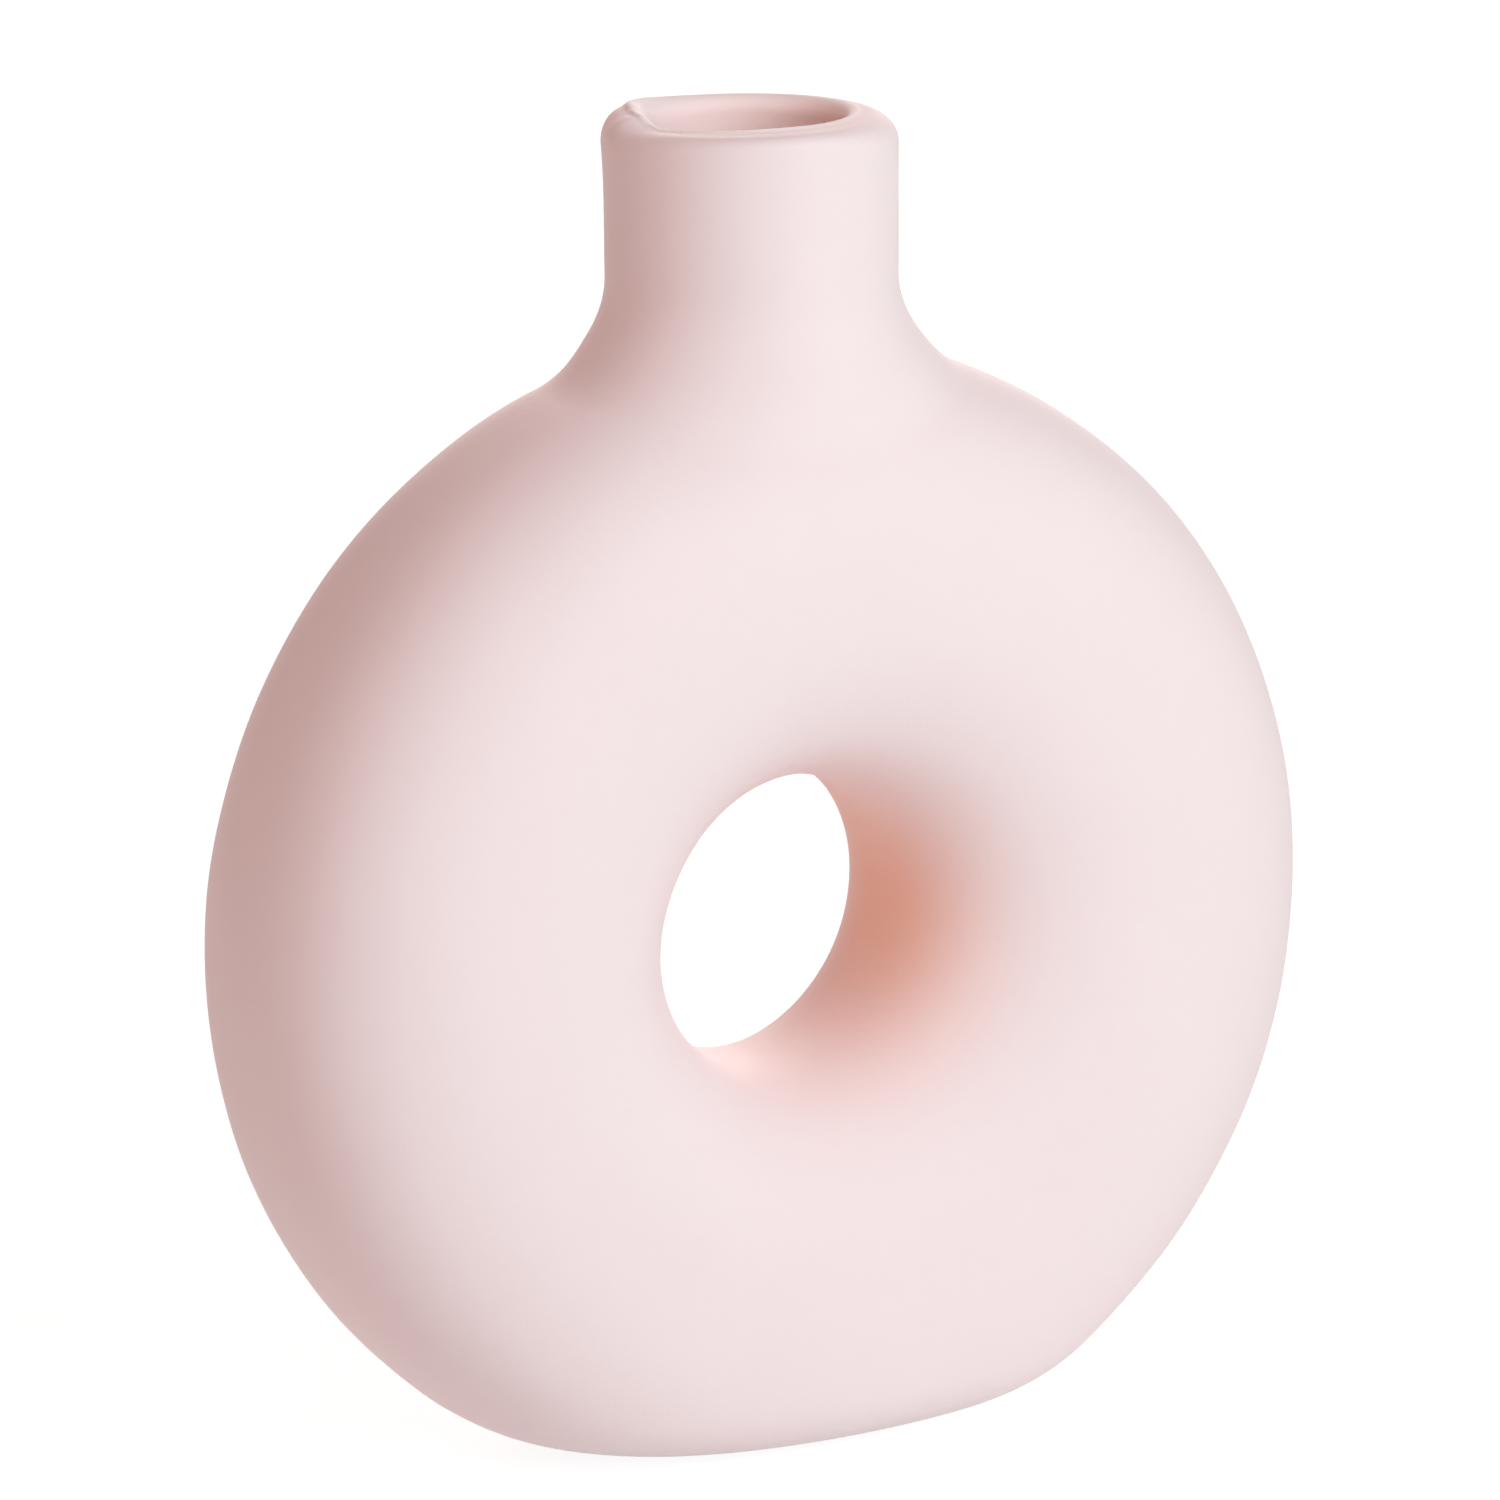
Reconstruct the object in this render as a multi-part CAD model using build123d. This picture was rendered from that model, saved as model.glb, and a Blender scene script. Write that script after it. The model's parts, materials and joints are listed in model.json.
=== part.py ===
from build123d import *
import os
from math import atan2, degrees, hypot, sqrt

# A ceramic vase shaped as an upright ring, with a hole through its middle and a short straight neck.
# Two moulded half rings are luted together on the ring's middle plane, and the neck's flared collar
# is luted into a round opening in their crown. All sizes are in millimetres.
# Frame: +Z up, front face towards -Y, origin in the middle of the flat foot.

# Ring
ring_radius = 80.0  # middle of the ring to its rim
hole_radius = 20.5  # middle of the ring to the hole's narrowest line
ring_depth = 55.6  # front face to rear face
rim_bulge_radius = 54.0  # gentle bulge of the rim and of the hole's wall
face_bulge_radius = 56.0  # gentle bulge of the front and rear faces
corner_band = 4.8  # gentle bulge left between the corner roundings, to each side of the section's middle
ring_wall = 5.0  # thickness of the fired clay

# Foot
foot_height = 7.7  # how much of the ring's lowest rim the flat foot takes away
foot_tightening = 5.0  # the foot's edge is rounded that much tighter than the ring's corners
floor_thickness = 6.0  # clay between the foot and the hollow

# Neck
neck_radius = 19.6  # outside of the straight neck
neck_wall = 6.3  # thickness of the neck, closed over by the rounded lip
neck_rise = 30.4  # crown of the ring to the top of the lip
neck_shift = -1.2  # the neck stands a little off the ring's middle
lip_inner_rounding = 2.5  # mouth side of the lip, the rest rounds over to the outside
crown_fillet = 18.0  # hollow curve from the neck down onto the crown

# Collar of the neck, luted into the crown
collar_land = 2.5  # clay between the end of the hollow curve and the seam
collar_sink = 5.0  # crown down to the middle of the seam's round underside

# Places and sizes that follow from those above
ring_height = ring_radius - foot_height
ring_middle_radius = (ring_radius + hole_radius) / 2
half_width = (ring_radius - hole_radius) / 2
half_depth = ring_depth / 2
corner_radius = min(half_width, half_depth) - corner_band
crown_height = ring_height + ring_radius
hollow_middle_height = ring_height + ring_middle_radius
lip_height = crown_height + neck_rise
bore_radius = neck_radius - neck_wall
lip_crest_radius = bore_radius + lip_inner_rounding
lip_outer_rounding = neck_radius - lip_crest_radius
foot_rounding = corner_radius - foot_tightening
hollow_rounding = foot_rounding - ring_wall
fillet_reach = (neck_radius + crown_fillet) * ring_radius / (ring_radius + crown_fillet)
collar_radius = fillet_reach + collar_land
collar_middle_height = crown_height - collar_sink


def corner_middle(rim_middle, face_middle):
    """Middle of the rounding that touches both the rim's bulge and the face's bulge from inside."""
    rim_reach = rim_bulge_radius - corner_radius
    face_reach = face_bulge_radius - corner_radius
    apart = hypot(rim_middle, face_middle)
    along = (rim_reach**2 - face_reach**2 + apart**2) / (2 * apart)
    aside = sqrt(rim_reach**2 - along**2)
    towards_x = -rim_middle / apart
    towards_y = face_middle / apart
    return rim_middle + along * towards_x - aside * towards_y, along * towards_y + aside * towards_x


def ring_section(inset):
    """Section of the ring with all its arcs drawn in by inset: X leads away from the hole's axis, Y along it."""
    rim_middle = half_width - rim_bulge_radius
    face_middle = half_depth - face_bulge_radius
    corner_x, corner_y = corner_middle(rim_middle, face_middle)
    rim_turn = degrees(atan2(corner_y, corner_x - rim_middle))
    face_turn = degrees(atan2(corner_x, corner_y - face_middle))
    rim = CenterArc((rim_middle, 0), rim_bulge_radius - inset, -rim_turn, 2 * rim_turn)
    face = CenterArc((0, face_middle), face_bulge_radius - inset, 90 - face_turn, 2 * face_turn)
    corner = CenterArc((corner_x, corner_y), corner_radius - inset, rim_turn, 90 - rim_turn - face_turn)
    upper_corners = [corner, mirror(corner, Plane.YZ)]
    lower_corners = [mirror(arc, Plane.XZ) for arc in upper_corners]
    sides = [rim, mirror(rim, Plane.YZ), face, mirror(face, Plane.XZ)]
    return Pos(ring_middle_radius, 0) * make_face(sides + upper_corners + lower_corners)


def flat_bottomed_ring(inset, floor_height, rounding):
    """Ring drawn in by inset all round, cut level at floor_height, with the edge of the cut rounded."""
    ring = Pos(0, 0, ring_height) * revolve(ring_section(inset), Axis.Y)
    ring = split(ring, Plane.XY.offset(floor_height), keep=Keep.TOP)
    return fillet(ring.edges().group_by(Axis.Z)[0], rounding)


def turned(outline):
    """Solid turned about the neck's upright axis from a half section: X leads out, Y is height."""
    return Pos(neck_shift, 0, 0) * revolve(Plane.XZ * make_face(outline), Axis.Z)


def neck_blank():
    """Solid neck from inside the crown up to the lip, rounded over outside the lip's crest."""
    lip = CenterArc((lip_crest_radius, lip_height - lip_outer_rounding), lip_outer_rounding, 0, 90)
    wall = Polyline(lip @ 1, (0, lip_height), (0, hollow_middle_height), (neck_radius, hollow_middle_height), lip @ 0)
    return turned([wall, lip])


def bore_cutter():
    """Straight bore from the hollow up to the mouth, opened out at the lip by its inner rounding."""
    lip = CenterArc((lip_crest_radius, lip_height - lip_inner_rounding), lip_inner_rounding, 90, 90)
    wall = Polyline(lip @ 0, (0, lip_height), (0, hollow_middle_height), (bore_radius, hollow_middle_height), lip @ 1)
    return turned([wall, lip])


def collar_cutter():
    """Upright round-nosed plug that holds the neck and its collar: its skin is the luted seam."""
    nose = CenterArc((0, collar_middle_height), collar_radius, -90, 90)
    wall = Polyline(nose @ 1, (collar_radius, lip_height), (0, lip_height), nose @ 0)
    return turned([wall, nose])


def vase_body():
    """The whole clay body: ring and neck blended, hollow inside, with the bore open at the lip."""
    ring = flat_bottomed_ring(0, 0, foot_rounding)
    neck = neck_blank()
    blank = ring + neck
    blank = fillet(new_edges(ring, neck, combined=blank), crown_fillet)
    hollow = flat_bottomed_ring(ring_wall, floor_thickness, hollow_rounding)
    return blank - hollow - bore_cutter()


vase = vase_body()
plug = collar_cutter()
both_halves = vase - plug
pieces = {
    "neck": vase & plug,
    "front_half_ring": split(both_halves, Plane.XZ, keep=Keep.TOP),
    "rear_half_ring": split(both_halves, Plane.XZ, keep=Keep.BOTTOM),
}

os.makedirs("parts", exist_ok=True)
for name, piece in pieces.items():
    piece.label = name
    export_step(piece, f"parts/{name}.step")
    box = piece.bounding_box()
    print(f"{name}: {piece.volume / 1000:.1f} cm3, X {box.min.X:.2f} to {box.max.X:.2f}, "
          f"Y {box.min.Y:.2f} to {box.max.Y:.2f}, Z {box.min.Z:.2f} to {box.max.Z:.2f}")
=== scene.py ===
import json
import math

import bpy
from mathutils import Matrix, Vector


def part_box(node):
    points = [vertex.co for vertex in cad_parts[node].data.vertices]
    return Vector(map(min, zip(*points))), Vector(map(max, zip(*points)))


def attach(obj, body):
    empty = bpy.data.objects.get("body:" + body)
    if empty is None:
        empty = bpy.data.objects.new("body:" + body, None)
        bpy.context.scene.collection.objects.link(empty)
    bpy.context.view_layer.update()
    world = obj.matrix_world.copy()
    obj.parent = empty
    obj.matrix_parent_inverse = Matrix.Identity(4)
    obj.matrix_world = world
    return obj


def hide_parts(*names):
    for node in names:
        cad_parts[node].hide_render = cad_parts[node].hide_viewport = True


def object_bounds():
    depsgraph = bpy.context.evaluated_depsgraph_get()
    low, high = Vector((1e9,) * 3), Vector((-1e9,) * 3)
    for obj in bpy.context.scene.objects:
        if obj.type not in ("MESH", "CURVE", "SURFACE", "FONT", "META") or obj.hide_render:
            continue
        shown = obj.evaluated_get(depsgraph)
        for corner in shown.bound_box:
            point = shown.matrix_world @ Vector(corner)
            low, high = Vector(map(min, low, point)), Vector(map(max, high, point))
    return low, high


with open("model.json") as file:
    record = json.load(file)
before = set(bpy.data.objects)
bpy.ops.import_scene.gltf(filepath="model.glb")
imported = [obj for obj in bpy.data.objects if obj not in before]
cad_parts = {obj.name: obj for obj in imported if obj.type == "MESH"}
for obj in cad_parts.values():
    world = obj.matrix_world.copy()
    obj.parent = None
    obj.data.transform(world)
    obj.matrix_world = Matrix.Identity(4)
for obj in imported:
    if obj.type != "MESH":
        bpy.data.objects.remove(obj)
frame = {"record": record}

cad_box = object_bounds()

# Clay body: two pressed half rings and a thrown neck, luted together while the clay was damp.
# Pink clay about 5 mm thick. Every joint was filled and sponged away, so that one smooth skin runs
# over all three pieces, and the rule for that skin is written here once and then cut along the joints.
packed = frame["record"]
stem_bore = next(m for m in packed["mounts"] if m["name"] == "stem_bore")
ring_hole = next(o for o in packed["physics"]["openings"] if o["name"] == "ring_hole")
ring_low, ring_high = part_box("front_half_ring")
neck_low, neck_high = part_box("neck")

clay_sizes = {
    "Ring radius": (ring_high.x - ring_low.x) / 2,
    "Hole radius": 0.0203,
    "Hole stretch": 1.002,
    "Hole shift": -0.00036,
    "Hole lift": 0.00020,
    "Half depth": -ring_low.y,
    "Section power": 2.41,
    "Ring height": (ring_hole["box_m"][0][2] + ring_hole["box_m"][1][2]) / 2,
    "Foot softness": 0.0100,
    "Heel swell": 0.0009,
    "Heel place": 0.0310,
    "Heel reach": 0.0110,
    "Wall": 0.0050,
    "Floor": 0.0060,
    "Neck radius": 0.0198,
    "Neck shift": stem_bore["pos_m"][0] - 0.00010,
    "Neck flare": 0.0007,
    "Neck sink": 0.0043,
    "Bore radius": stem_bore["dims"]["r_mm"] / 1000,
    "Mouth shift": 0.0007,
    "Lip height": neck_high.z + 0.0001,
    "Lip outer rounding": 0.0050,
    "Lip front tightening": 0.0030,
    "Lip inner rounding": 0.0007,
    "Lip bevel": 0.0024,
    "Lip far rounding": 0.0018,
    "Lip edge": 0.0008,
    "Lip rise": 0.0004,
    "Lip reach": 0.0130,
    "Crown fillet": 0.0112,
    "Inner rounding": 0.0040,
    "Wobble": 0.0005,
}
# The lip was trimmed by hand: it stands high or low in these directions from +X,
# in degrees, over an arc that is narrower where the tightness is greater.
lip_waves = (
    {"towards": 135, "tightness": 10, "height": 0.0007},
    {"towards": 150, "tightness": 90, "height": 0.0003},
    {"towards": 168, "tightness": 120, "height": 0.0006},
    {"towards": 184, "tightness": 14, "height": -0.0010},
    {"towards": 215, "tightness": 5, "height": -0.0007},
    {"towards": 285, "tightness": 5, "height": -0.0002},
    {"towards": 20, "tightness": 3, "height": 0.0002},
)
flare_towards = 150
flare_tightness = 2
bevel_towards = 128
bevel_tightness = 5
front_towards = 250
front_tightness = 1.4
far_towards = 30
far_tightness = 1.5
by_axis = 0.001  # directions are not asked for nearer the neck's axis than this


def feed(tree, value, socket):
    """Puts a number, a vector or another node's output into a socket."""
    if isinstance(value, Rule):
        value = value.socket
    if isinstance(value, bpy.types.NodeSocket):
        tree.links.new(value, socket)
    else:
        socket.default_value = value


def add_node(tree, kind, *values, **settings):
    """A new node with its first live sockets fed in order and its settings set by name."""
    node = tree.nodes.new(kind)
    for name, value in settings.items():
        setattr(node, name, value)
    live = [s for s in node.inputs if s.enabled]
    for socket, value in zip(live, values):
        if value is not None:
            feed(tree, value, socket)
    return node


class Rule:
    """A number inside a node tree, so that the shape of the clay can be written as plain arithmetic."""

    def __init__(self, tree, socket):
        self.tree = tree
        self.socket = socket

    def math(self, operation, *values):
        node = add_node(self.tree, "ShaderNodeMath", *values, operation=operation)
        return Rule(self.tree, node.outputs[0])

    def __add__(self, other):
        return self.math("ADD", self, other)

    def __sub__(self, other):
        return self.math("SUBTRACT", self, other)

    def __rsub__(self, other):
        return self.math("SUBTRACT", other, self)

    def __mul__(self, other):
        return self.math("MULTIPLY", self, other)

    def __truediv__(self, other):
        return self.math("DIVIDE", self, other)

    def __pow__(self, other):
        return self.math("POWER", self, other)

    def __neg__(self):
        return self.math("MULTIPLY", self, -1.0)

    def __abs__(self):
        return self.math("ABSOLUTE", self)

    def least(self, other):
        return self.math("MINIMUM", self, other)

    def most(self, other):
        return self.math("MAXIMUM", self, other)

    def within_unit(self):
        return self.most(0.0).least(1.0)

    def exp(self):
        return self.math("EXPONENT", self)

    def near(self, other, reach):
        return self.math("COMPARE", self, other, reach)

    def length_with(self, other):
        return (self * self + other * other) ** 0.5


def soft_most(a, b, width):
    """The larger of two distances, eased over where they are nearly the same."""
    ease = (width - abs(a - b)).most(0.0)
    return a.most(b) + ease * ease / (width * 4.0)


def new_tree(name, inputs, outputs):
    """An empty node tree with named inputs and outputs; returns it with its input and output nodes."""
    tree = bpy.data.node_groups.new(name, "GeometryNodeTree")
    for label, kind in inputs:
        tree.interface.new_socket(label, in_out="INPUT", socket_type=kind)
    for label, kind in outputs:
        tree.interface.new_socket(label, in_out="OUTPUT", socket_type=kind)
    return tree, tree.nodes.new("NodeGroupInput"), tree.nodes.new("NodeGroupOutput")


size_inputs = [(name, "NodeSocketFloat") for name in clay_sizes]


def clay_distance_tree():
    """How far a point is outside the clay: a ring of squarish round section, flattened at the foot,
    with the neck flowing into its crown, hollow inside and open at the lip."""
    tree, given, result = new_tree(
        "Clay distance",
        [("Position", "NodeSocketVector")] + size_inputs,
        [("Distance", "NodeSocketFloat")])
    size = {name: Rule(tree, given.outputs[name]) for name in clay_sizes}

    # Slow wander of the hand-finished surface
    waves_per_metre = 28.0
    octaves = 1.0
    noise = add_node(tree, "ShaderNodeTexNoise", given.outputs["Position"], waves_per_metre, octaves)
    middle_grey = (0.5, 0.5, 0.5)
    wander = add_node(
        tree, "ShaderNodeVectorMath", noise.outputs["Color"], middle_grey, operation="SUBTRACT")
    moved = add_node(tree, "ShaderNodeVectorMath", wander.outputs[0], operation="SCALE")
    feed(tree, size["Wobble"] * 2.0, moved.inputs["Scale"])
    place = add_node(
        tree, "ShaderNodeVectorMath", given.outputs["Position"], moved.outputs[0], operation="ADD")
    axes = add_node(tree, "ShaderNodeSeparateXYZ", place.outputs[0])
    x, y, z = (Rule(tree, axes.outputs[i]) for i in range(3))
    level = Rule(tree, add_node(tree, "ShaderNodeSeparateXYZ", given.outputs["Position"]).outputs["Z"])

    # Ring: between an outer circle and the hole's circle, with a little more clay at one end of the foot
    up = z - size["Ring height"]
    from_rim = size["Ring radius"] - x.length_with(up)
    up_in_hole = (up - size["Hole lift"]) / size["Hole stretch"]
    from_hole = (x - size["Hole shift"]).length_with(up_in_hole) - size["Hole radius"]
    half_width = (from_rim + from_hole) * 0.5
    power = size["Section power"]
    across = abs(from_hole / half_width - 1.0)
    deep = abs(y) / size["Half depth"]
    least_swell = 0.05
    swell = ((across ** power + deep ** power) ** (1.0 - (power - 1.0) / power)).most(least_swell)
    slope_across = across ** (power - 1.0) / half_width
    slope_deep = deep ** (power - 1.0) / size["Half depth"]
    slope = slope_across.length_with(slope_deep) * swell ** (1.0 - power)
    from_heel = (x - size["Heel place"]).length_with(z) / size["Heel reach"]
    ring = (swell - 1.0) / slope.most(1.0) - size["Heel swell"] * (from_heel * from_heel * -0.5).exp()
    footed = soft_most(ring, -level, size["Foot softness"])
    hollow = soft_most(ring + size["Wall"], size["Floor"] - level, size["Foot softness"])

    # Neck: a round tube, flared a little to one side under a lip of uneven height. The lip has a raised
    # inner edge, is softer at the far side and crisper in front, and the mouth is a little off the middle
    aside = x - size["Neck shift"]
    out = aside.length_with(y)

    def along(towards):
        turn = math.radians(towards)
        return (aside * math.cos(turn) + y * math.sin(turn)) / out.most(by_axis)

    def facing(towards, tightness):
        return ((along(towards) - 1.0) * tightness).exp()

    near_lip = ((level - size["Lip height"]) / size["Lip reach"] + 1.0).within_unit() ** 2.0
    trim = facing(lip_waves[0]["towards"], lip_waves[0]["tightness"]) * lip_waves[0]["height"]
    for wave in lip_waves[1:]:
        trim = trim + facing(wave["towards"], wave["tightness"]) * wave["height"]
    in_mouth = out - size["Mouth shift"] * along(flare_towards) * near_lip
    flared = out - size["Neck flare"] * facing(flare_towards, flare_tightness) * near_lip
    tighter = size["Lip front tightening"] * facing(front_towards, front_tightness)
    outer_rounding = size["Lip outer rounding"] - tighter
    brow = size["Neck radius"] - outer_rounding
    far = facing(far_towards, far_tightness)
    bevel = size["Lip bevel"] * facing(bevel_towards, bevel_tightness)
    inner_rounding = size["Lip inner rounding"] + bevel + size["Lip far rounding"] * far
    crest = size["Bore radius"] + inner_rounding
    on_crest = ((crest - in_mouth) / size["Lip edge"] + 1.0).within_unit() ** 2.0
    rise = size["Lip rise"] * (1.0 - far) * on_crest
    below_lip = level - trim * near_lip - rise - size["Lip height"]
    crown = size["Ring height"] + size["Ring radius"]
    below_crown = crown - size["Neck sink"] - level
    ends = below_lip.most(below_crown) + outer_rounding
    neck = (flared - brow).most(0.0).length_with(ends.most(0.0)) - outer_rounding
    fillet = size["Crown fillet"]
    rounded = (fillet - footed).most(0.0).length_with((fillet - neck).most(0.0))
    body = fillet.most(footed.least(neck)) - rounded

    # Bore, running into the hollow with a sponged edge
    into_edge = (below_lip + inner_rounding).most(0.0)
    bore = inner_rounding - (crest - in_mouth).most(0.0).length_with(into_edge)
    tube_middle = (size["Ring radius"] + size["Hole radius"]) * 0.5 + size["Ring height"]
    bore = bore.most(tube_middle - level)
    inside = -soft_most(-hollow, -bore, size["Inner rounding"])
    feed(tree, body.most(-inside), result.inputs["Distance"])
    return tree


clay_distance = clay_distance_tree()


def distance_at(tree, given, position):
    """The clay distance at a position, with the sizes of the tree's own inputs."""
    node = add_node(tree, "GeometryNodeGroup", node_tree=clay_distance)
    feed(tree, position, node.inputs["Position"])
    for name in clay_sizes:
        feed(tree, given.outputs[name], node.inputs[name])
    return Rule(tree, node.outputs["Distance"])


def outward_at(tree, given, position):
    """Direction straight out of the clay at a position, from the distances a hair's breadth around it."""
    hair = 0.00005
    parts = add_node(tree, "ShaderNodeCombineXYZ")
    for axis in range(3):
        step = tuple(hair if axis == i else 0.0 for i in range(3))
        ahead = add_node(tree, "ShaderNodeVectorMath", position, step, operation="ADD").outputs[0]
        behind = add_node(tree, "ShaderNodeVectorMath", position, step, operation="SUBTRACT").outputs[0]
        climb = distance_at(tree, given, ahead) - distance_at(tree, given, behind)
        feed(tree, climb, parts.inputs[axis])
    return add_node(tree, "ShaderNodeVectorMath", parts.outputs[0], operation="NORMALIZE").outputs[0]


def sponged_skin_tree(name, low, high, voxel):
    """The clay's closed skin inside a box: its distance on a fine grid, then drawn onto the rule."""
    tree, given, result = new_tree(name, size_inputs, [("Mesh", "NodeSocketGeometry")])
    position = add_node(tree, "GeometryNodeInputPosition").outputs[0]
    counts = [round((b - a) / voxel) for a, b in zip(low, high)]
    band = 3 * voxel
    density = (0.5 - distance_at(tree, given, position) / (2 * band)).within_unit()
    grid = add_node(tree, "GeometryNodeVolumeCube", density, 0.0, low, high, *counts)
    mesh = add_node(tree, "GeometryNodeVolumeToMesh", grid.outputs[0], resolution_mode="GRID")
    mesh.inputs["Threshold"].default_value = 0.5
    skin = mesh.outputs[0]
    for _ in range(2):
        outward = outward_at(tree, given, position)
        back = add_node(tree, "ShaderNodeVectorMath", outward, operation="SCALE")
        feed(tree, -distance_at(tree, given, position), back.inputs["Scale"])
        skin = add_node(tree, "GeometryNodeSetPosition", skin, None, None, back.outputs[0]).outputs[0]
    whole = add_node(tree, "GeometryNodeRealizeInstances", skin)
    feed(tree, glazed(tree, whole.outputs[0]), result.inputs["Mesh"])
    return tree


def glazed(tree, geometry):
    """The geometry with the pink glaze on all of it."""
    node = add_node(tree, "GeometryNodeSetMaterial", geometry)
    node.inputs["Material"].default_value = pink_glaze
    return node.outputs[0]


def shaped(name, tree, sizes, start=None):
    """An object with the plain mesh that a tree makes from these sizes, with or without a first mesh."""
    piece = bpy.data.objects.new(name, start or bpy.data.meshes.new(name))
    bpy.context.scene.collection.objects.link(piece)
    maker = piece.modifiers.new("clay", "NODES")
    maker.node_group = tree
    for item in tree.interface.items_tree:
        if item.in_out == "INPUT" and item.name in sizes:
            maker[item.identifier] = sizes[item.name]
    ready = piece.evaluated_get(bpy.context.evaluated_depsgraph_get())
    made = bpy.data.meshes.new_from_object(ready)
    if made.materials[0] is None:
        made.materials.pop(index=0)
    piece.modifiers.remove(maker)
    piece.data = made
    made.name = name
    return piece


def skin_mesh(name, low, high, voxel):
    """The clay's skin as a plain mesh, ready to be cut into a piece."""
    skin = shaped(name, sponged_skin_tree(name, low, high, voxel), clay_sizes)
    made = skin.data
    bpy.data.objects.remove(skin)
    return made


def pink_matte_glaze():
    """Thin matte pink glaze on a warm clay, even on the faces and wiped off the foot before firing. Its
    colour also holds painted bounce light and shade, redder inside the neck and in the hole and deepest
    on one wall there, and a painted highlight on the lip."""
    face_pink = (0.885, 0.782, 0.788, 1)
    # Painted shade and warm bounce light for the hole's wall, not a glaze colour
    hole_shade_paint = (0.955, 0.790, 0.780, 1)
    # Painted bounce light for the inside of the neck, lighter and redder than the faces
    inner_bounce_pink = (0.985, 0.810, 0.795, 1)
    # Painted highlight for the lip's raised edge, not a glaze colour
    painted_highlight_edge = (0.990, 0.940, 0.930, 1)
    # Painted warm shade for the most shaded walls in the hole and the neck, not a glaze colour
    painted_warm_shade = (0.965, 0.600, 0.470, 1)
    biscuit = (0.720, 0.560, 0.480, 1)
    glaze = bpy.data.materials.new("matte_pink_on_warm_clay")
    glaze.use_nodes = True
    tree = glaze.node_tree
    shader = tree.nodes["Principled BSDF"]
    place = add_node(tree, "ShaderNodeTexCoord").outputs["Object"]
    axes = add_node(tree, "ShaderNodeSeparateXYZ", place)
    x, y, z = (Rule(tree, axes.outputs[i]) for i in range(3))

    def mixed(share, colour, other):
        return add_node(tree, "ShaderNodeMix", share, colour, other, data_type="RGBA").outputs["Result"]

    # Inside of the neck: painted bounce light, lighter and redder than the faces, with painted warm shade
    # at one side
    mouth_turn = math.radians(flare_towards)
    mouth_x = clay_sizes["Neck shift"] + clay_sizes["Mouth shift"] * math.cos(mouth_turn)
    mouth_y = clay_sizes["Mouth shift"] * math.sin(mouth_turn)
    out = (x - mouth_x).length_with(y - mouth_y)
    from_mouth = out - clay_sizes["Bore radius"]

    def facing(towards, tightness):
        turn = math.radians(towards)
        along = ((x - mouth_x) * math.cos(turn) + (y - mouth_y) * math.sin(turn)) / out.most(by_axis)
        return ((along - 1.0) * tightness).exp()

    redder_towards = 330
    redder_tightness = 2.0
    redder_share = 0.5
    inner_bounce_and_shade = mixed(facing(redder_towards, redder_tightness) * redder_share, inner_bounce_pink, painted_warm_shade)
    hollow_top = 0.130
    hollow_fade = 0.010
    tint_fade = 0.0006
    tint_reach = facing(far_towards, far_tightness) * clay_sizes["Lip far rounding"] + tint_fade
    above_hollow = (z - hollow_top) / hollow_fade
    inside = (1.0 - from_mouth / tint_reach).least(above_hollow).within_unit()

    # Painted highlight along the raised edge of the lip, most of all in front
    near_towards = 240
    near_tightness = 0.7
    edge_start = 0.0002
    edge_width = 0.0022
    edge_fade = 0.0007
    edge_depth = 0.0018
    edge_ease = 0.0008
    at_lip = (z - (clay_sizes["Lip height"] - edge_depth)) / edge_ease
    highlight_share = (from_mouth / edge_start).least((edge_width - from_mouth) / edge_fade).least(at_lip)
    highlight_share = highlight_share.within_unit() * facing(near_towards, near_tightness)
    pinks = mixed(highlight_share, mixed(inside, face_pink, inner_bounce_and_shade), painted_highlight_edge)

    # Painted shade and warm bounce light in the hole, deepest on its wall towards +X
    shaded_wall_towards = math.radians(-4)
    hole_shade_reach = 0.0065
    hole_shade_tightness = 1.2
    aside = x - clay_sizes["Hole shift"]
    up = z - (clay_sizes["Ring height"] + clay_sizes["Hole lift"])
    from_axis = aside.length_with(up)
    from_hole = (from_axis - clay_sizes["Hole radius"]).most(0.0)
    turned_away = 1.0 - (aside * math.cos(shaded_wall_towards) + up * math.sin(shaded_wall_towards)) / from_axis
    hole_shade_share = (turned_away * -hole_shade_tightness - from_hole * from_hole / hole_shade_reach ** 2).exp()
    pinks = mixed(hole_shade_share, pinks, hole_shade_paint)

    # Deepest painted warm shade, in the middle of the same wall
    shade_patch_reach = 0.0030
    shade_patch_tightness = 2.4
    deepest_shade_share = (turned_away * -shade_patch_tightness - from_hole / shade_patch_reach).exp()
    pinks = mixed(deepest_shade_share, pinks, painted_warm_shade)

    # Slow mottling and a fine grain
    def noise(waves_per_metre, octaves, roughness):
        node = add_node(tree, "ShaderNodeTexNoise", place, waves_per_metre, octaves, roughness)
        return Rule(tree, node.outputs["Fac"])

    cloud = noise(34.0, 3.0, 0.55)
    grain = noise(2600.0, 2.0, 0.5)
    cloud_tone = 0.030
    grain_tone = 0.016
    darkest_tone = 0.977
    tone = cloud * cloud_tone + grain * grain_tone + darkest_tone
    toned = add_node(tree, "ShaderNodeVectorMath", pinks, operation="SCALE")
    feed(tree, tone, toned.inputs["Scale"])

    # Wiped foot
    wiped_height = 0.0002
    ragged_height = 0.0012
    wiped_fade = 0.0003
    wiped = ((cloud * ragged_height + wiped_height - z) / wiped_fade).within_unit()
    feed(tree, mixed(wiped, toned.outputs[0], biscuit), shader.inputs["Base Color"])

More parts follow.
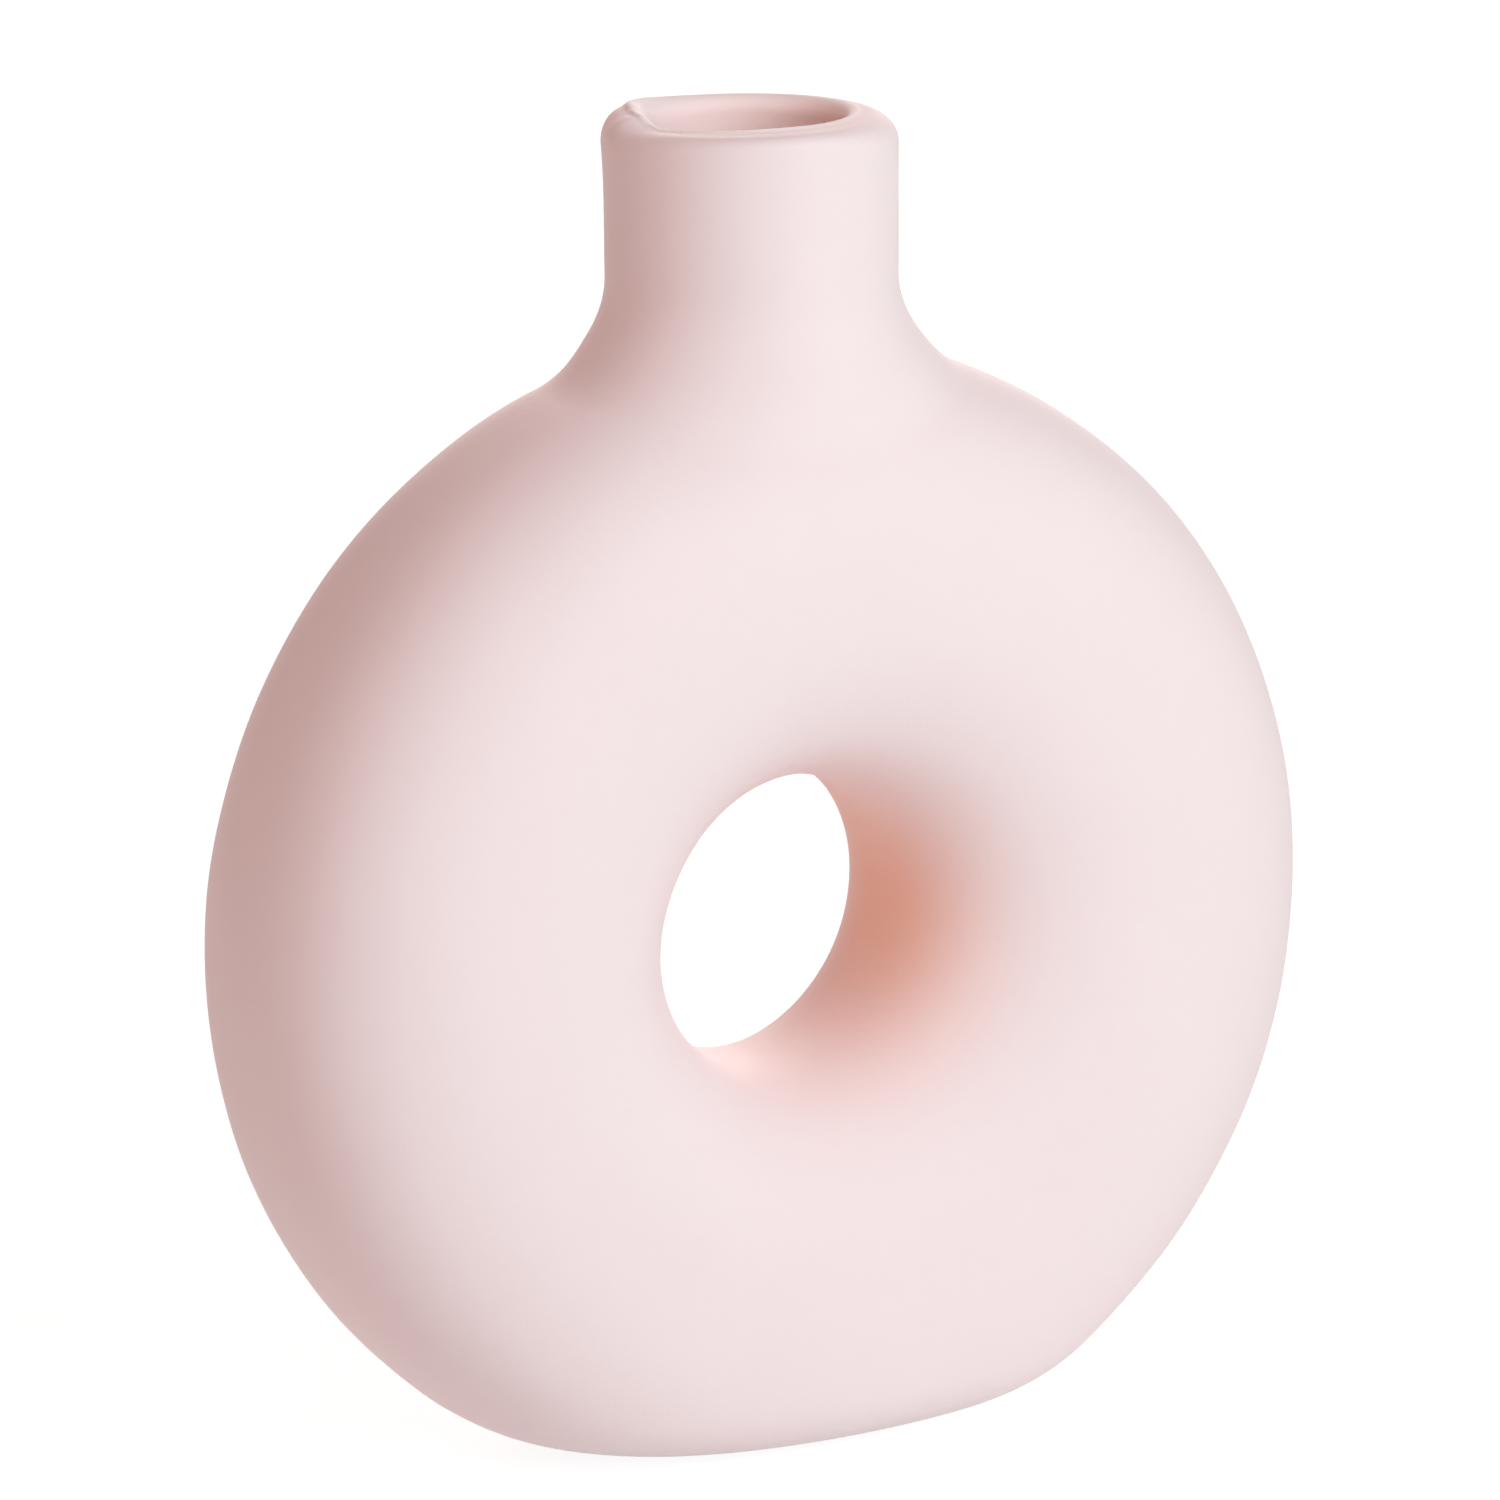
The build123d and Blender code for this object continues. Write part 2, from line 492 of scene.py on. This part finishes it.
    # Silky to dull, and the faint skin of a matte glaze
    silky = 0.52
    cloud_dullness = 0.10
    biscuit_dullness = 0.3
    feed(tree, cloud * cloud_dullness + wiped * biscuit_dullness + silky, shader.inputs["Roughness"])
    shader.inputs["Specular IOR Level"].default_value = 0.2
    peel = noise(420.0, 3.0, 0.6)
    peel_height = 0.00012
    grain_height = 0.00003
    relief = peel * peel_height + grain * grain_height
    bump = add_node(tree, "ShaderNodeBump")
    bump.inputs["Strength"].default_value = 0.35
    bump.inputs["Distance"].default_value = 1.0
    feed(tree, relief, bump.inputs["Height"])
    feed(tree, bump.outputs[0], shader.inputs["Normal"])
    return glaze


pink_glaze = pink_matte_glaze()

# Front half ring: the front face, with half of the rim, of the hole's wall and of the foot.
# Clay pressed into one half of a plaster mould. It is luted edge to edge to the rear half,
# and its crown is cut away in a round-bottomed bite where the neck is set in.
collar_sink = 0.005
seam_sizes = {
    "Collar radius": 0.0332,
    "Collar height": clay_sizes["Ring height"] + clay_sizes["Ring radius"] - collar_sink,
}
seam_inputs = [(name, "NodeSocketFloat") for name in seam_sizes]


def cut_tree(name, keep_neck=False, side=0):
    """Cuts one piece out of the whole skin along the luted joints: the neck, or the ring on one side."""
    tree, given, result = new_tree(
        name,
        [("Skin", "NodeSocketGeometry")] + seam_inputs + size_inputs,
        [("Mesh", "NodeSocketGeometry")])
    skin = given.outputs["Skin"]
    position = add_node(tree, "GeometryNodeInputPosition").outputs[0]

    # A round-nosed plug about the neck
    collar_radius = given.outputs["Collar radius"]
    around = 96
    tall = 0.2
    nose = add_node(tree, "GeometryNodeMeshUVSphere", around, around // 2, collar_radius)
    barrel = add_node(tree, "GeometryNodeMeshCylinder", around, 1, 1, collar_radius, tall)
    raised = add_node(tree, "GeometryNodeTransform", barrel.outputs["Mesh"])
    raised.inputs["Translation"].default_value = (0, 0, tall / 2)
    plug = add_node(tree, "GeometryNodeMeshBoolean", operation="UNION", solver="MANIFOLD")
    for part in (nose.outputs["Mesh"], raised.outputs[0]):
        tree.links.new(part, plug.inputs["Mesh 2"])
    seat = add_node(
        tree, "ShaderNodeCombineXYZ", given.outputs["Neck shift"], 0.0, given.outputs["Collar height"])
    placed = add_node(tree, "GeometryNodeTransform", plug.outputs[0])
    feed(tree, seat.outputs[0], placed.inputs["Translation"])
    collar = placed.outputs[0]

    if keep_neck:
        cut = add_node(tree, "GeometryNodeMeshBoolean", operation="INTERSECT", solver="MANIFOLD")
        for part in (skin, collar):
            tree.links.new(part, cut.inputs["Mesh 2"])
    else:
        wide = 0.4
        block = add_node(tree, "GeometryNodeMeshCube", (wide, wide, 2 * wide))
        other_half = add_node(tree, "GeometryNodeTransform", block.outputs["Mesh"])
        other_half.inputs["Translation"].default_value = (0, -side * wide / 2, 0)
        cut = add_node(tree, "GeometryNodeMeshBoolean", skin, operation="DIFFERENCE", solver="MANIFOLD")
        for part in (collar, other_half.outputs[0]):
            tree.links.new(part, cut.inputs["Mesh 2"])

    # Shading follows the rule on the clay's skin and is flat on the joints, with a sharp edge between
    on_rule = 0.0001
    close = distance_at(tree, given, position).near(0.0, on_rule)
    skin_face = add_node(tree, "GeometryNodeFieldOnDomain", close, domain="FACE")
    on_skin = Rule(tree, skin_face.outputs[0])
    half_on = 0.5
    partly = 0.4
    joint_edge = on_skin.near(half_on, partly)
    smooth = add_node(tree, "GeometryNodeSetShadeSmooth", cut.outputs[0])
    crisp = add_node(
        tree, "GeometryNodeSetShadeSmooth", smooth.outputs[0], joint_edge, False, domain="EDGE")
    flat = add_node(tree, "GeometryNodeFieldOnDomain", domain="FACE", data_type="FLOAT_VECTOR")
    feed(tree, add_node(tree, "GeometryNodeInputNormal").outputs[0], flat.inputs[0])
    facing = add_node(tree, "GeometryNodeSwitch", input_type="VECTOR")
    feed(tree, on_skin, facing.inputs["Switch"])
    feed(tree, flat.outputs[0], facing.inputs["False"])
    feed(tree, outward_at(tree, given, position), facing.inputs["True"])
    shaded = add_node(tree, "GeometryNodeSetMeshNormal", crisp.outputs[0], mode="FREE", domain="CORNER")
    feed(tree, facing.outputs[0], shaded.inputs["Custom Normal"])
    whole = add_node(tree, "GeometryNodeRealizeInstances", shaded.outputs[0])
    feed(tree, glazed(tree, whole.outputs[0]), result.inputs["Mesh"])
    return tree


piece_sizes = {**clay_sizes, **seam_sizes}
ring_voxel = 0.0011
room_round_ring = Vector((4 * ring_voxel,) * 3)
ring_skin = skin_mesh(
    "Ring skin", cad_box[0] - room_round_ring, cad_box[1] + room_round_ring, ring_voxel)
front_half = shaped("front_half_shell", cut_tree("Front half", side=-1), piece_sizes, ring_skin)
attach(front_half, "root")
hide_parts("front_half_ring")

# Rear half ring: the matching half, with the rear face.
# Pressed in the other half of the mould from the same clay, and luted to the front half and the neck.
rear_half = shaped("rear_half_shell", cut_tree("Rear half", side=1), piece_sizes, ring_skin)
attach(rear_half, "root")
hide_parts("rear_half_ring")

# Neck: a short thrown tube with a rounded lip, trimmed by hand.
# Its flared collar sits in the round bite in the crown of both halves, and is luted to them.
neck_voxel = 0.00046
room_round_neck = Vector((0.006,) * 3)
neck_skin = skin_mesh("Neck skin", neck_low - room_round_neck, neck_high + room_round_neck, neck_voxel)
neck = shaped("neck_and_lip", cut_tree("Neck", keep_neck=True), piece_sizes, neck_skin)
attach(neck, "root")
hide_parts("neck")

# Floor: a plain white sheet of paper on a faintly lit table, that the vase stands on.
# To the camera it is white with the vase's soft shadow; to everything else it is plain pale paper.
bpy.ops.mesh.primitive_plane_add(size=8)
floor = bpy.context.object
floor.name = "floor"


def seen_directly(tree):
    """1 where the camera sees a surface itself, mirrored or through glass, and 0 for other light."""
    path = add_node(tree, "ShaderNodeLightPath").outputs
    camera = Rule(tree, path["Is Camera Ray"])
    return camera.most(path["Is Glossy Ray"]).most(path["Is Transmission Ray"])


def white_paper():
    paper = bpy.data.materials.new("white_paper")
    paper.use_nodes = True
    tree = paper.node_tree
    tree.nodes.clear()

    def lit_from_below(own, glow):
        sheet = add_node(tree, "ShaderNodeBsdfDiffuse", (own, own, own, 1))
        lamp = add_node(tree, "ShaderNodeEmission", (glow, glow, glow, 1), 1.0)
        return add_node(tree, "ShaderNodeAddShader", sheet.outputs[0], lamp.outputs[0]).outputs[0]

    plain = lit_from_below(own=0.92, glow=0.07)
    white = lit_from_below(own=0.30, glow=0.88)
    either = add_node(tree, "ShaderNodeMixShader", seen_directly(tree), plain, white)
    add_node(tree, "ShaderNodeOutputMaterial", either.outputs[0])
    return paper


floor.data.materials.append(white_paper())


# Light: a broad soft key in front, one behind for the far side, a faint one high at the left and a low
# warm one there, in a pale room.
def soft_light(name, azimuth, elevation, power, colour):
    lamp = bpy.data.lights.new(name, "AREA")
    lamp.shape = "DISK"
    lamp.size = 1.2
    lamp.energy = power
    lamp.color = colour
    stand = bpy.data.objects.new(name, lamp)
    bpy.context.scene.collection.objects.link(stand)
    a, e = math.radians(azimuth), math.radians(elevation)
    towards = Vector((math.sin(a) * math.cos(e), -math.cos(a) * math.cos(e), math.sin(e)))
    middle = Vector((0, 0, 0.08))
    distance = 1.8
    stand.location = middle + towards * distance
    stand.rotation_euler = towards.to_track_quat("Z", "Y").to_euler()
    stand.visible_camera = False


soft_light("key", azimuth=15, elevation=25, power=20.6, colour=(0.805, 0.966, 1.0))
soft_light("high_side", azimuth=-50, elevation=55, power=5.1, colour=(1.0, 0.70, 0.68))
soft_light("rear", azimuth=150, elevation=15, power=12.0, colour=(1.0, 0.90, 0.87))
soft_light("warm_side", azimuth=-120, elevation=8, power=2.0, colour=(1.0, 0.42, 0.20))

world = bpy.data.worlds.new("pale_room")
bpy.context.scene.world = world
world.use_nodes = True
room = world.node_tree
room.nodes.clear()
room_glow = (0.305, 0.202, 0.183, 1)
white = (1, 1, 1, 1)
ambient = add_node(room, "ShaderNodeBackground", room_glow, 1.0)
backdrop = add_node(room, "ShaderNodeBackground", white, 1.0)
direct = seen_directly(room)
surround = add_node(room, "ShaderNodeMixShader", direct, ambient.outputs[0], backdrop.outputs[0])
add_node(room, "ShaderNodeOutputWorld", surround.outputs[0])

# Camera: where the photograph was taken from, a little above the vase and to its left.
# A long lens, held upright and aimed just beside the vase's middle.
view_azimuth = math.radians(-29.59)
view_elevation = math.radians(13.19)
view_distance = 1.2011
aim_aside = -0.00131
aim_height = 0.09506
sensor_width = 36.0
focal_length_in_widths = 8827.45 / 1500
back = Vector((math.sin(view_azimuth) * math.cos(view_elevation),
               -math.cos(view_azimuth) * math.cos(view_elevation), math.sin(view_elevation)))
aim = Vector((math.cos(view_azimuth) * aim_aside, math.sin(view_azimuth) * aim_aside, aim_height))
lens = bpy.data.cameras.new("camera")
lens.sensor_width = sensor_width
lens.lens = focal_length_in_widths * sensor_width
camera = bpy.data.objects.new("camera", lens)
camera.location = aim + back * view_distance
camera.rotation_euler = back.to_track_quat("Z", "Y").to_euler()
bpy.context.scene.collection.objects.link(camera)
bpy.context.scene.camera = camera
bpy.context.scene.view_settings.view_transform = "Standard"
